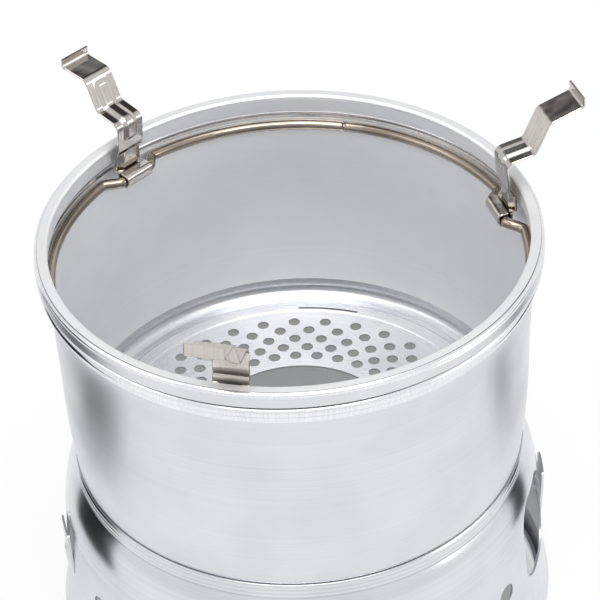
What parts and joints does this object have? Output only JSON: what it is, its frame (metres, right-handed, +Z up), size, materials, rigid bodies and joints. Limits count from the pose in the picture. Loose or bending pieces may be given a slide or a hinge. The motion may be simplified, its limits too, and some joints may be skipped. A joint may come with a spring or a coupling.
{
  "type": "storm cooker",
  "caption": "Two stacked spun aluminium windshields with a perforated burner floor, a wire ring under the rim and folding stainless pot supports.",
  "frame": {"origin": "bottom centre of the bounding box, on the surface that the base stands on; the turning axis of the windshields is 5.7 mm towards +Y from it", "axes": "+Z up, -Y towards the front pot support, +X towards the large side opening"},
  "size_m": [0.1858, 0.1964, 0.2043],
  "materials": {
    "base_aluminium": "spun, satin",
    "bowl_aluminium": "spun, satin, with a bright brushed rim",
    "wire_steel": "drawn stainless wire",
    "strip_steel": "polished stainless strip"
  },
  "bodies": {
    "lower": {"lower_windshield": "base_aluminium"},
    "upper": {"upper_windshield": "bowl_aluminium", "support_ring": "wire_steel"},
    "support_right": {"pot_support_right": "strip_steel"},
    "support_left": {"pot_support_left": "strip_steel"},
    "support_front": {"pot_support_front": "strip_steel"}
  },
  "joints": [
    {"name": "upper_lift", "type": "slide", "parent": "lower", "child": "upper", "axis": [0, 0, 1], "range_m": [0, 0.1]},
    {"name": "support_right_fold", "type": "hinge", "parent": "upper", "child": "support_right", "pos_m": [0.06608, 0.04385, 0.1617], "axis": [0.5, -0.866, 0], "range_deg": [0, 180]},
    {"name": "support_left_fold", "type": "hinge", "parent": "upper", "child": "support_left", "pos_m": [-0.06608, 0.04385, 0.1617], "axis": [0.5, 0.866, 0], "range_deg": [0, 180]},
    {"name": "support_front_fold", "type": "hinge", "parent": "upper", "child": "support_front", "pos_m": [0, -0.0706, 0.1617], "axis": [-1, 0, 0], "range_deg": [0, 180]}
  ]
}
